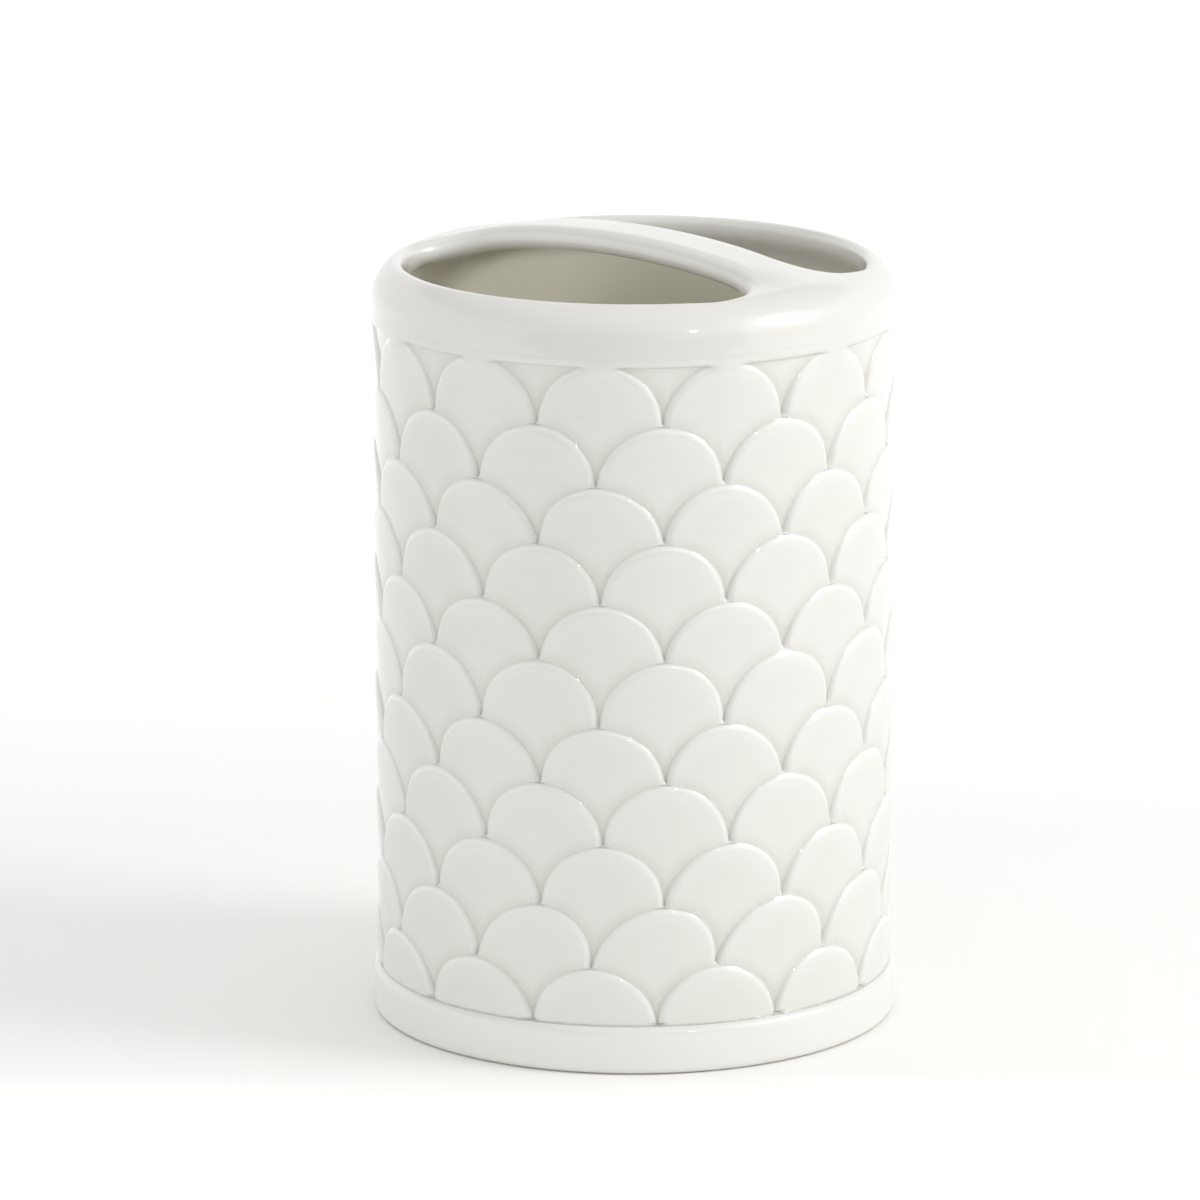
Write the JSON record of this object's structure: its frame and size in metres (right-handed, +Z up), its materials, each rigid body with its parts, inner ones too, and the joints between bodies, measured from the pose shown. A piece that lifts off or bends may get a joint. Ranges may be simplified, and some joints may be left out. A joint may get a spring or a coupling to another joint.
{
  "type": "toothbrush holder",
  "caption": "Upright glazed ceramic cup with fish-scale relief and a domed top whose bridge parts two half-moon mouths for toothbrushes.",
  "frame": {"origin": "centre of the foot, on the surface that the holder stands on", "axes": "+Z up along the cup's axis, -Y towards the front as pictured, +X to the right seen from the front"},
  "size_m": [0.0768, 0.0768, 0.1156],
  "materials": {
    "white_glaze": "gloss",
    "fired_slip": "matte"
  },
  "bodies": {
    "root": {"cast_cup": "white_glaze", "bridged_top": "white_glaze", "luting_slip": "fired_slip"}
  },
  "joints": []
}
